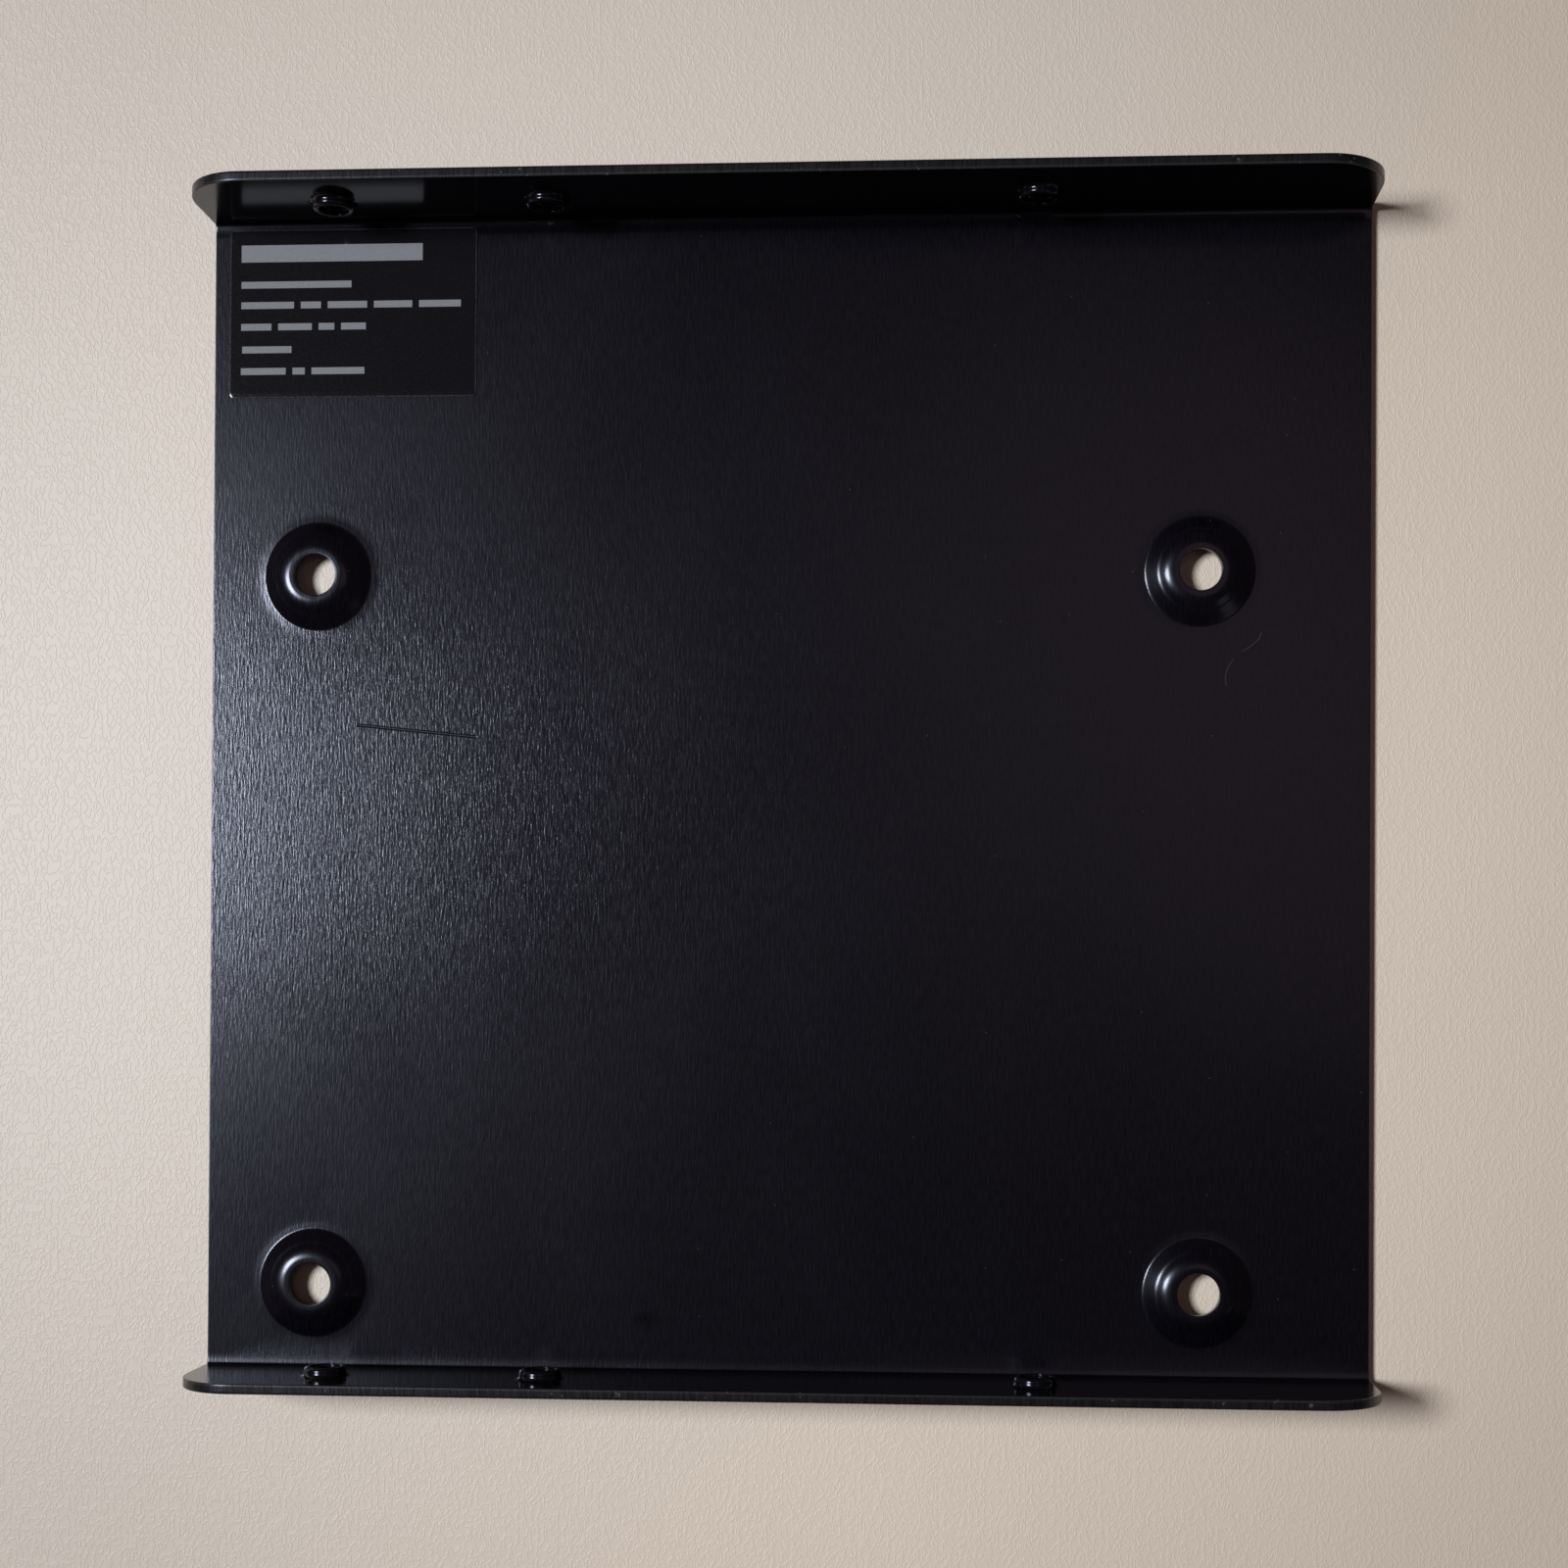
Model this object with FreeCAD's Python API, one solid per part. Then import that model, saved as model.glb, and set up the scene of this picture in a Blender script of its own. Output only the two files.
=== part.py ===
import FreeCAD
import Part
import math
import os

# Folded sheet bracket that carries a small drive in the bay of a full-size drive.
# X runs along the folds, Y across them and Z up. The origin lies under the middle of the plate.
# Sizes are in millimetres and angles in degrees.

# Painted sheet and its folds
sheet_thickness = 0.85
bend_inside_radius = 0.2
edge_break = 0.1

# Outline of the folded bracket
overall_width = 101.6
plate_length = 100.5
flange_height = 11.5
flange_corner_radius = 5.3

# Four bosses pressed up out of the plate, with the small drive's screw holes
drive_hole_spacing_x = 76.60
drive_hole_spacing_y = 61.72
drive_pattern_shift_x = -2.57
drive_pattern_shift_y = -11.92
drive_hole_diameter = 3.6
boss_rise = 1.2
boss_seat_diameter = 4.5
boss_bevel_diameter = 5.6
boss_bevel_angle = 15.0
boss_wall_angle = 30.5
boss_shoulder_radius = 0.6
boss_foot_radius = 0.6

# Three collars drawn inwards out of each flange, bored for the bay's screws
collar_axis_height = 6.35
first_collar_x = -38.2
short_collar_step = 18.39
long_collar_step = 41.61
collar_bore_diameter = 2.5
collar_outside_diameter = 3.5
collar_projection = 0.8
collar_root_bevel = 0.35
collar_mouth_bevel = 0.3

# Label film on the plate, beside the +Y flange
label_length = 21.9
label_width = 14.8
label_thickness = 0.1
label_corner_radius = 0.4
label_end_gap = 1.35
label_fold_gap = 0.3

# Flat ring of sheet kept round each boss and collar, and the largest gap between points that coincide
flat_margin = 0.2
coincidence = 1e-6


def on_xy(x, y):
    return FreeCAD.Vector(x, y, 0)


def on_xz(x, z):
    return FreeCAD.Vector(x, 0, z)


def on_yz(y, z):
    return FreeCAD.Vector(0, y, z)


def corner_arc(before, corner, after, radius):
    """Start, middle and end of the arc that rounds a corner, all at the corner for a radius of 0."""
    to_before = (before - corner).normalize()
    to_after = (after - corner).normalize()
    half_angle = to_before.getAngle(to_after) / 2
    inward = (to_before + to_after).normalize()
    reach = radius / math.tan(half_angle)
    start = corner + to_before * reach
    middle = corner + inward * (radius / math.sin(half_angle) - radius)
    end = corner + to_after * reach
    return start, middle, end


def rounded_face(corners):
    """Flat face inside a closed run of corners, each a point and the radius that rounds it."""
    count = len(corners)
    arcs = []
    for index, (corner, radius) in enumerate(corners):
        before = corners[index - 1][0]
        after = corners[(index + 1) % count][0]
        arcs.append(corner_arc(before, corner, after, radius))
    edges = []
    for index, (start, middle, end) in enumerate(arcs):
        next_start = arcs[(index + 1) % count][0]
        if corners[index][1] > 0:
            edges.append(Part.Arc(start, middle, end).toShape())
        edges.append(Part.makeLine(end, next_start))
    return Part.Face(Part.Wire(edges))


def turned(profile):
    """Solid of revolution about Z of a profile in the XZ plane."""
    return profile.revolve(FreeCAD.Vector(0, 0, 0), FreeCAD.Vector(0, 0, 1), 360)


def folded_channel():
    """U section of the folded sheet, carried along the folds."""
    half_width = overall_width / 2
    inner_half_width = half_width - sheet_thickness
    bend_outside_radius = bend_inside_radius + sheet_thickness
    section = rounded_face([
        (on_yz(-half_width, flange_height), 0),
        (on_yz(-half_width, 0), bend_outside_radius),
        (on_yz(half_width, 0), bend_outside_radius),
        (on_yz(half_width, flange_height), 0),
        (on_yz(inner_half_width, flange_height), 0),
        (on_yz(inner_half_width, sheet_thickness), bend_inside_radius),
        (on_yz(-inner_half_width, sheet_thickness), bend_inside_radius),
        (on_yz(-inner_half_width, flange_height), 0),
    ])
    channel = section.extrude(FreeCAD.Vector(plate_length, 0, 0))
    channel.translate(FreeCAD.Vector(-plate_length / 2, 0, 0))
    return channel


def outline_prism():
    """The blank's outline as seen from the side, with the flanges' rounded corners, run across the folds.

    It stands past the plate's underside and the flanges' outer faces, so only the shear's cuts lie on it.
    """
    half_length = plate_length / 2
    outline = rounded_face([
        (on_xz(-half_length, -sheet_thickness), 0),
        (on_xz(half_length, -sheet_thickness), 0),
        (on_xz(half_length, flange_height), flange_corner_radius),
        (on_xz(-half_length, flange_height), flange_corner_radius),
    ])
    prism_width = overall_width + 2 * sheet_thickness
    prism = outline.extrude(FreeCAD.Vector(0, prism_width, 0))
    prism.translate(FreeCAD.Vector(0, -prism_width / 2, 0))
    return prism


def is_sheared(face, prism):
    """True for a face that the shear cut, which lies on the blank's outline."""
    first_u, last_u, first_v, last_v = face.ParameterRange
    point = face.valueAt((first_u + last_u) / 2, (first_v + last_v) / 2)
    return prism.Shells[0].distToShape(Part.Vertex(point))[0] < coincidence


def folded_sheet():
    """The folded sheet, trimmed to its outline, with the two long edges of every cut broken.

    An edge of one sheared face alone runs along the sheet; one shared by two runs across its thickness.
    """
    prism = outline_prism()
    sheet = folded_channel().common(prism).Solids[0]
    cut_edges = [edge for face in sheet.Faces if is_sheared(face, prism) for edge in face.Edges]
    along_sheet = []
    for edge in cut_edges:
        twins = [other for other in cut_edges if other.isSame(edge)]
        if len(twins) == 1:
            along_sheet.append(edge)
    return sheet.makeChamfer(edge_break, along_sheet)


def boss_bevel_drop():
    """Height that the bevel round the seat falls, from the seat's edge to the wall's shoulder."""
    bevel_width = (boss_bevel_diameter - boss_seat_diameter) / 2
    return bevel_width * math.tan(math.radians(boss_bevel_angle))


def boss_foot():
    """Radii of the foot's sharp corner on the upper side and of the foot's end."""
    slope = math.radians(boss_wall_angle)
    wall_fall = boss_rise - boss_bevel_drop()
    foot_corner = boss_bevel_diameter / 2 + wall_fall / math.tan(slope)
    foot_end = foot_corner + boss_foot_radius * math.tan(slope / 2)
    return foot_corner, foot_end


def pressed_boss():
    """Conical boss about Z with a bevelled seat and its screw hole, pressed up out of the plate.

    The underside of its wall lies one sheet thickness below the upper side.
    """
    foot_corner, foot_end = boss_foot()
    disc = foot_end + flat_margin
    hole = drive_hole_diameter / 2
    seat_height = sheet_thickness + boss_rise
    slope = math.radians(boss_wall_angle)
    under_foot = foot_corner - sheet_thickness * math.tan(slope / 2)
    under_seat = under_foot - boss_rise / math.tan(slope)
    profile = rounded_face([
        (on_xz(disc, 0), 0),
        (on_xz(disc, sheet_thickness), 0),
        (on_xz(foot_corner, sheet_thickness), boss_foot_radius),
        (on_xz(boss_bevel_diameter / 2, seat_height - boss_bevel_drop()), boss_shoulder_radius),
        (on_xz(boss_seat_diameter / 2, seat_height), 0),
        (on_xz(hole, seat_height), 0),
        (on_xz(hole, boss_rise), 0),
        (on_xz(under_seat, boss_rise), 0),
        (on_xz(under_foot, 0), boss_foot_radius + sheet_thickness),
    ])
    return turned(profile)


def collar_disc_radius():
    """Radius of the disc of flange that one drawn collar takes up."""
    return collar_outside_diameter / 2 + collar_root_bevel + flat_margin


def drawn_collar():
    """Collar about Z, drawn out of a flange, from the flange's outer face at 0 up to its lip."""
    disc = collar_disc_radius()
    outside = collar_outside_diameter / 2
    bore = collar_bore_diameter / 2
    lip = sheet_thickness + collar_projection
    profile = rounded_face([
        (on_xz(disc, 0), 0),
        (on_xz(disc, sheet_thickness), 0),
        (on_xz(outside + collar_root_bevel, sheet_thickness), 0),
        (on_xz(outside, sheet_thickness + collar_root_bevel), 0),
        (on_xz(outside, lip - edge_break), 0),
        (on_xz(outside - edge_break, lip), 0),
        (on_xz(bore, lip), 0),
        (on_xz(bore, collar_mouth_bevel), 0),
        (on_xz(bore + collar_mouth_bevel, 0), 0),
    ])
    return turned(profile)


def boss_places():
    """Placements of the four bosses on the plate."""
    places = []
    for side_x in (-1, 1):
        for side_y in (-1, 1):
            x = drive_pattern_shift_x + side_x * drive_hole_spacing_x / 2
            y = drive_pattern_shift_y + side_y * drive_hole_spacing_y / 2
            places.append(FreeCAD.Placement(on_xy(x, y), FreeCAD.Rotation()))
    return places


def collar_places():
    """Placements of the collars, each turned to point inwards from its flange's outer face."""
    second_collar_x = first_collar_x + short_collar_step
    third_collar_x = second_collar_x + long_collar_step
    places = []
    for side in (-1, 1):
        inwards = FreeCAD.Rotation(FreeCAD.Vector(1, 0, 0), side * 90)
        for x in (first_collar_x, second_collar_x, third_collar_x):
            mouth = FreeCAD.Vector(x, side * overall_width / 2, collar_axis_height)
            places.append(FreeCAD.Placement(mouth, inwards))
    return places


def placed_copies(shape, places):
    copies = []
    for place in places:
        copy = shape.copy()
        copy.Placement = place
        copies.append(copy)
    return copies


def folded_bracket():
    """The folded sheet with a boss or a collar formed in place of each plain disc of sheet."""
    boss_disc = Part.makeCylinder(boss_foot()[1] + flat_margin, sheet_thickness)
    collar_disc = Part.makeCylinder(collar_disc_radius(), sheet_thickness)
    plain_discs = placed_copies(boss_disc, boss_places()) + placed_copies(collar_disc, collar_places())
    forms = placed_copies(pressed_boss(), boss_places()) + placed_copies(drawn_collar(), collar_places())
    return folded_sheet().cut(plain_discs).fuse(forms).removeSplitter().Solids[0]


def label_film():
    """Thin film with rounded corners, stuck flat on the plate beside the fold."""
    left = -plate_length / 2 + label_end_gap
    right = left + label_length
    top = overall_width / 2 - sheet_thickness - bend_inside_radius - label_fold_gap
    bottom = top - label_width
    outline = rounded_face([
        (on_xy(left, bottom), label_corner_radius),
        (on_xy(right, bottom), label_corner_radius),
        (on_xy(right, top), label_corner_radius),
        (on_xy(left, top), label_corner_radius),
    ])
    film = outline.extrude(FreeCAD.Vector(0, 0, label_thickness))
    film.translate(FreeCAD.Vector(0, 0, sheet_thickness))
    return film


os.makedirs("parts", exist_ok=True)
folded_bracket().exportStep("parts/folded_bracket.step")
label_film().exportStep("parts/label_film.step")
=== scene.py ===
import itertools
import math

import bpy
import numpy as np
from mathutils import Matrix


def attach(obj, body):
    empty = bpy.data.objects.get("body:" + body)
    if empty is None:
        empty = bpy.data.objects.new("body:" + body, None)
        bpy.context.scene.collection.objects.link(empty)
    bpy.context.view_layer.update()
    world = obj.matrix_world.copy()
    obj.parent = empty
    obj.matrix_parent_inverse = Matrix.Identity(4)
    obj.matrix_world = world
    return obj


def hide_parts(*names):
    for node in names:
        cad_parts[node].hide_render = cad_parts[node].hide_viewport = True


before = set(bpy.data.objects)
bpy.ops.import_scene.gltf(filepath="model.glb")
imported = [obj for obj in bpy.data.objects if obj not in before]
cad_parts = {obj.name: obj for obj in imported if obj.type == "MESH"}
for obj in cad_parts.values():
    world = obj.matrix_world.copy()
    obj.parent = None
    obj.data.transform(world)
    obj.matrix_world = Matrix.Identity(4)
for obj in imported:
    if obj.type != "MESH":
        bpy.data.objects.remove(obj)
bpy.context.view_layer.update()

# Sizes are in millimetres, and slopes and tilts in degrees, unless a line says otherwise. X runs along the
# folds, Y across them and Z up, and the origin lies under the middle of the plate, as in the part's source.
MM = 0.001
TOLERANCE = 0.01

# Folded sheet and its cut edges
THICKNESS = 0.85
WIDTH = 101.6
LENGTH = 100.5
HEIGHT = 11.5
CORNER_RADIUS = 5.3
CORNER_STEPS = 12
EDGE_ROUND = 0.1
EDGE_STEPS = 4
EDGE_LAND_ROWS = 3
EDGE_ROW = 0.15
INNER_HALF_WIDTH = WIDTH / 2 - THICKNESS
FLANGE_TOP = HEIGHT - EDGE_ROUND

# Arcs of a bend from the plate to the flange, each with its inside radius, the tilt at its end and its steps
BEND_ARCS = ((6.0, 4.0, 4), (3.2, 12.0, 6), (0.15, 90.0, 9))

# Bosses pressed up out of the plate, at the small drive's four screw holes
HOLE_SPACING_X = 76.60
HOLE_SPACING_Y = 61.72
PATTERN_X = -2.57
PATTERN_Y = -11.92
BOSS_X = (PATTERN_X - HOLE_SPACING_X / 2, PATTERN_X + HOLE_SPACING_X / 2)
BOSS_Y = (PATTERN_Y - HOLE_SPACING_Y / 2, PATTERN_Y + HOLE_SPACING_Y / 2)
BOSS_RISE = 1.2
BOSS_SLOPE = 30.5
FOOT_CORNER = 4.5875
FOOT_ROUND = 0.6
UNDER_SEAT_ROUND = 0.4
HOLE_RADIUS = 1.8
HOLE_EDGE_ROUND = 0.06
HOLE_RIM = HOLE_RADIUS + HOLE_EDGE_ROUND
HOLE_WEAR = 0.25

# Radii from the hole's rim to the plate and the slope at each: a flat seat, its round shoulder, a wall with
# the press's faint step half way down, and a foot that runs out softly in a low ripple
BOSS_SLOPES = (
    (HOLE_RIM, 0.0), (2.19, 0.0), (2.29, 5.5), (2.46, 10.0), (2.84, 20.5), (3.05, 27.0),
    (3.20, 32.0), (3.38, 32.0), (3.58, 23.0), (3.78, 33.0), (4.50, 34.5), (4.62, 27.0),
    (4.70, 15.0), (4.77, 5.0), (4.92, 2.5), (5.12, 3.5), (5.38, 1.0), (5.70, 0.0),
)

# Rings over the boss's upper side: the radius that each stretch runs to, and its steps
BOSS_RINGS = (
    (2.19, 2), (2.29, 3), (2.46, 3), (2.84, 6), (3.20, 5), (3.38, 2),
    (3.78, 10), (4.50, 5), (4.62, 3), (4.77, 6), (5.12, 6), (5.70, 7),
)

# Square of sheet round a boss, as half its side: its outer side lies on a column of the rounded corners
BOSS_CELL_CORNER_STEP = 9
BOSS_CELL_TURN = math.radians(90 * BOSS_CELL_CORNER_STEP / CORNER_STEPS)
BOSS_CELL_REACH = LENGTH / 2 - CORNER_RADIUS + (CORNER_RADIUS - EDGE_ROUND) * math.cos(BOSS_CELL_TURN)
BOSS_CELL = BOSS_CELL_REACH + BOSS_X[0]
BOSS_CELL_STEPS = 20

# Collars drawn inwards out of each flange, with a screw thread in the bore
FIRST_COLLAR_X = -38.2
SHORT_COLLAR_STEP = 18.39
LONG_COLLAR_STEP = 41.61
SECOND_COLLAR_X = FIRST_COLLAR_X + SHORT_COLLAR_STEP
COLLAR_X = (FIRST_COLLAR_X, SECOND_COLLAR_X, SECOND_COLLAR_X + LONG_COLLAR_STEP)
COLLAR_Z = 6.35
COLLAR_RADIUS = 1.75
COLLAR_RISE = 0.8
COLLAR_ROOT_ROUND = 0.35
COLLAR_MARGIN = 0.2
COLLAR_CELL = 2.9
COLLAR_CELL_STEPS = 12
LIP_ROUND = 0.28
LIP_BEVEL = 0.1
LIP_WEAR = 0.06
BORE_RADIUS = 1.25
MOUTH_BEVEL = 0.3
RIM_STEP = 0.06
THREAD_PITCH = 0.5
THREAD_DEPTH = 0.25
THREAD_RUN_OUT = 0.1

# Shares of half a thread's pitch that its crest and its flank take up
THREAD_CREST = 0.15
THREAD_FLANK = 0.65

# Rings between a boss's or collar's circle and its rectangle of sheet, as shares of the way out
RING_EASES = (0.72, 0.44, 0.18)

# Label film, beside the +Y flange
LABEL_LENGTH = 21.9
LABEL_WIDTH = 14.8
LABEL_THICKNESS = 0.1
LABEL_END_GAP = 1.35
LABEL_FLANGE_GAP = 0.5
LABEL_CENTRE = (
    -LENGTH / 2 + LABEL_END_GAP + LABEL_LENGTH / 2,
    INNER_HALF_WIDTH - LABEL_FLANGE_GAP - LABEL_WIDTH / 2,
    THICKNESS + LABEL_THICKNESS,
)
LABEL_CORNER = 0.4
LABEL_CORNER_STEPS = 6
LABEL_EDGE = 0.03
LABEL_EDGE_STEPS = 3
LABEL_COLUMNS = 40
LABEL_ROWS = 28
LABEL_RIM_START = 0.16
LABEL_RIM_FULL = 0.06

# Lines of plain bars on the label: the low and high edge of each, and its bars' left and right ends
LABEL_LINES = (
    (46.6, 48.1, ((-47.9, -31.8),)),
    (44.3, 44.9, ((-47.9, -38.1),)),
    (42.5, 43.1, ((-47.9, -43.2), (-42.6, -40.8), (-40.2, -36.7), (-36.1, -32.7), (-32.1, -28.4))),
    (40.6, 41.2, ((-47.9, -45.2), (-44.6, -41.6), (-41.0, -39.6), (-39.0, -36.8))),
    (38.6, 39.2, ((-47.8, -43.4),)),
    (36.7, 37.3, ((-47.9, -43.9), (-43.3, -42.2), (-41.6, -36.9))),
)

# Marks on the plate, each a line through its corners with its half width
SCRATCH = ((-37.26, 5.92), (-26.85, 4.88))
SCRATCH_HALF_WIDTH = 0.16
RUB = ((-45.7, 5.35), (-44.8, 5.55))
RUB_HALF_WIDTH = 0.2
DARK_SPOT = ((-11.95, -45.75), (-11.45, -45.75))
DARK_SPOT_HALF_WIDTH = 1.25
UPPER_HAIR = ((39.40, 12.09), (40.15, 12.57), (40.80, 13.18), (40.96, 13.64))
UPPER_HAIR_HALF_WIDTH = 0.08
LOWER_HAIR = ((38.62, 11.46), (38.13, 10.70), (37.92, 9.88), (38.02, 9.14))
LOWER_HAIR_HALF_WIDTH = 0.07

# Patch of the plate where the grain stands out: its middle, its squeeze along X, and the distances between
# which the grain falls to its least share
GRAIN_MIDDLE = (-46.0, 0.0, THICKNESS)
GRAIN_SQUEEZE = (0.5, 1.0, 1.0)
GRAIN_CLEAR = 8.0
GRAIN_FAINT = 30.0
GRAIN_LEAST = 0.45

# Distances across the unfolded sheet over which the coat turns glossier: to either flange, and to the bend
# beside the label
FLANGE_START = (50.2, 51.2)
LABEL_BEND_START = (48.6, 49.2)
FLANGE_ROUGHNESS_SHARE = 0.68

# Patterns in the coat, as waves per millimetre along X, across the folds and through the sheet
GRAIN_WAVES = (5.5, 0.85, 0.0)
FINE_GRAIN_WAVES = (13.0, 2.4, 0.0)
LONG_DASH_WAVES = (4.6, 0.55, 0.0)
SHORT_DASH_WAVES = (7.5, 0.9, 0.0)
CLOUD_WAVES = (0.07, 0.05, 0.07)
SHEAR_WAVES = (4.5, 4.5, 0.6)
NICK_WAVES = (1.3, 1.3, 1.3)
DUST_WAVES = (0.16, 0.16, 0.0)

# Least and greatest roughness of the coat, what clouds and cut edges add to it, and what two marks change
COAT_ROUGHNESS = (0.195, 0.24)
CLOUD_ROUGHNESS = (-0.008, 0.008)
EDGE_ROUGHNESS = (0.10, 0.15)
SCRATCH_ROUGHNESS = 0.12
DARK_SPOT_GLOSS = 0.05

# Heights in the relief against the grain's own, and the levels over which the grain fades on a boss
FINE_GRAIN_HEIGHT = 0.3
SCRATCH_DEPTH = 2.0
FLANGE_GRAIN = 0.2
BOSS_GRAIN = 0.12
BOSS_GRAIN_START = (THICKNESS + 0.02, THICKNESS + 0.3)

# Shares of the pale marks' and worn edges' own colours, and the levels over which a cut edge's upper corner
# turns paler: worn paint and a painted highlight along it
RUB_SHARE = 0.12
HAIR_SHARE = 0.16
DUST_SHARE = 0.2
NICK_SHARE = 0.5
BROKEN_EDGE_AND_HIGHLIGHT_SHARE = 0.7
BROKEN_EDGE_AND_HIGHLIGHT_START = (THICKNESS - 0.28, THICKNESS - 0.14)

# Depths of the bumps, in metres
GRAIN_DEPTH = 0.016 * MM
FILM_DEPTH = 0.001 * MM
EMBOSS_DEPTH = 0.015 * MM

# Colours of the painted sheet, the label film and the table
PAINT_LOW = (0.0016, 0.0013, 0.0025, 1)
PAINT_HIGH = (0.0030, 0.0025, 0.0042, 1)
SHEAR_LOW = (0.0040, 0.0034, 0.0033, 1)
SHEAR_HIGH = (0.0085, 0.0073, 0.0071, 1)
# Paler upper corner of a cut edge: worn paint with a painted highlight along it
BROKEN_EDGE_AND_HIGHLIGHT = (0.0165, 0.0150, 0.0150, 1)
NICK = (0.12, 0.117, 0.115, 1)
DUST = (0.16, 0.15, 0.145, 1)
PAINT_SHEEN = (0.87, 0.88, 1.0, 1)
FILM_LOW = (0.0045, 0.0040, 0.0050, 1)
FILM_HIGH = (0.0068, 0.0060, 0.0074, 1)
FILM_RIM = (0.030, 0.030, 0.033, 1)
FILM_CUT = (0.10, 0.10, 0.105, 1)
INK_LOW = (0.17, 0.168, 0.175, 1)
INK_HIGH = (0.23, 0.228, 0.236, 1)
TABLE_LOW = (0.60, 0.51, 0.41, 1)
TABLE_HIGH = (0.64, 0.545, 0.44, 1)
# The table's far colour is painted shade: darker away from the middle
TABLE_PAINTED_SHADE = (0.51, 0.43, 0.34, 1)

# Table in metres: its reach, the distances over which it darkens to its far colour as painted shade, and the
# direction in which, over a stretch, it turns a little paler as painted light
TABLE_REACH = 1.5
TABLE_PAINTED_SHADE_START = (0.05, 0.10)
TABLE_PAINTED_LIGHT_DIRECTION = (1.0, -0.6, 0.0)
TABLE_PAINTED_LIGHT_START = (-0.03, 0.05)
TABLE_PAINTED_LIGHT_GAIN = (1.11, 1.07, 1.03)

# Studio in metres and watts: each light's name, direction from the plate's middle, distance, size, power and
# colour, the room's even light, and the camera with its turn in degrees
LIGHTS = (
    ("window", (-0.70, 0.11, 1.0), 1.05, (0.28, 0.29), 13.6, (0.84, 0.90, 1.0)),
    ("ceiling", (0.16, 0.15, 1.0), 1.6, (0.5, 0.7), 0.4, (1.0, 0.74, 0.80)),
    ("far_wall", (0.60, -0.48, 0.5), 1.2, (0.45, 0.35), 0.2, (0.95, 0.92, 1.0)),
)
ROOM_COLOUR = (1.0, 0.70, 0.70, 1)
ROOM_STRENGTH = 0.05
CAMERA_PLACE = (0.01611, -0.01819, 0.19669)
CAMERA_TURN = (0.5656, 3.3356, 0.2898)
CAMERA_LENS = 52.21
CAMERA_SHIFT = (-0.033, 0.126)
CAMERA_NEAR = 0.01


def stations(start, *legs):
    """Positions along a line: each leg runs on to its end in a number of equal steps."""
    parts = [np.array([start], float)]
    for end, steps in legs:
        parts.append(np.linspace(parts[-1][-1], end, steps + 1)[1:])
    return np.concatenate(parts)


def arc(centre, radius, first, last, steps):
    """Points (across, along) of an arc: centre plus radius times (cos, sin), angles in degrees."""
    angle = np.radians(np.linspace(first, last, steps + 1))
    return np.stack([centre[0] + radius * np.cos(angle), centre[1] + radius * np.sin(angle)], 1)


def straight(start, end, steps):
    """Points strictly between two ends, equally spaced."""
    share = (np.arange(1, steps) / steps)[:, None]
    return np.array(start) * (1 - share) + np.array(end) * share


def nearest(nodes, middle, reach):
    """Indices, in rising order, of the nodes nearest to the two ends of a stretch about its middle."""
    ends = (middle - reach, middle + reach)
    return sorted(int(np.argmin(np.abs(nodes - end))) for end in ends)


def loop_round(first_i, last_i, first_j, last_j):
    """Index pairs once round a rectangle of a grid, counter-clockwise from its lowest corner."""
    along = np.arange(first_i, last_i)
    across = np.arange(first_j, last_j)
    i = np.concatenate([along, np.full(across.size, last_i), along[::-1] + 1, np.full(across.size, first_i)])
    j = np.concatenate([np.full(along.size, first_j), across, np.full(along.size, last_j), across[::-1] + 1])
    return i, j


class Shell:
    """Gathers blocks of points, with their place on the sheet and their edge wear, and the quads between."""

    def __init__(self):
        self.blocks = []
        self.quads = []
        self.count = 0

    def add(self, points, places, wear):
        """Index array of a new block of points, in the block's own shape."""
        shape = points.shape[:-1]
        block = np.concatenate([points, places, np.broadcast_to(wear, shape)[..., None]], -1)
        self.blocks.append(block.reshape(-1, block.shape[-1]))
        index = self.count + np.arange(np.prod(shape)).reshape(shape)
        self.count += index.size
        return index

    def grid(self, index, keep, turned):
        """Quads between neighbouring rows and columns where keep is true; turned ones face the other way."""
        quads = np.stack([index[:-1, :-1], index[1:, :-1], index[1:, 1:], index[:-1, 1:]], -1)[keep]
        self.quads.append(quads[:, ::-1] if turned else quads)

    def band(self, rows, turned):
        """Quads between neighbouring closed loops, each loop a row of the index array."""
        after = np.roll(rows, -1, axis=1)
        quads = np.stack([rows[:-1], after[:-1], after[1:], rows[1:]], -1).reshape(-1, 4)
        self.quads.append(quads[:, ::-1] if turned else quads)

    def piece(self, name):
        """Mesh object in metres of the points that faces use, with both attributes, shaded smooth."""
        used, quads = np.unique(np.concatenate(self.quads), return_inverse=True)
        values = np.concatenate(self.blocks)[used]
        mesh = bpy.data.meshes.new(name)
        mesh.from_pydata(values[:, :3] * MM, [], quads.reshape(-1, 4))
        place = mesh.attributes.new("sheet_place", "FLOAT_VECTOR", "POINT")
        place.data.foreach_set("vector", values[:, 3:6].astype(np.float32).ravel())
        wear = mesh.attributes.new("edge_wear", "FLOAT", "POINT")
        wear.data.foreach_set("value", values[:, 6].astype(np.float32))
        mesh.shade_smooth()
        mesh.update()
        piece = bpy.data.objects.new(name, mesh)
        bpy.context.scene.collection.objects.link(piece)
        return piece


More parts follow.
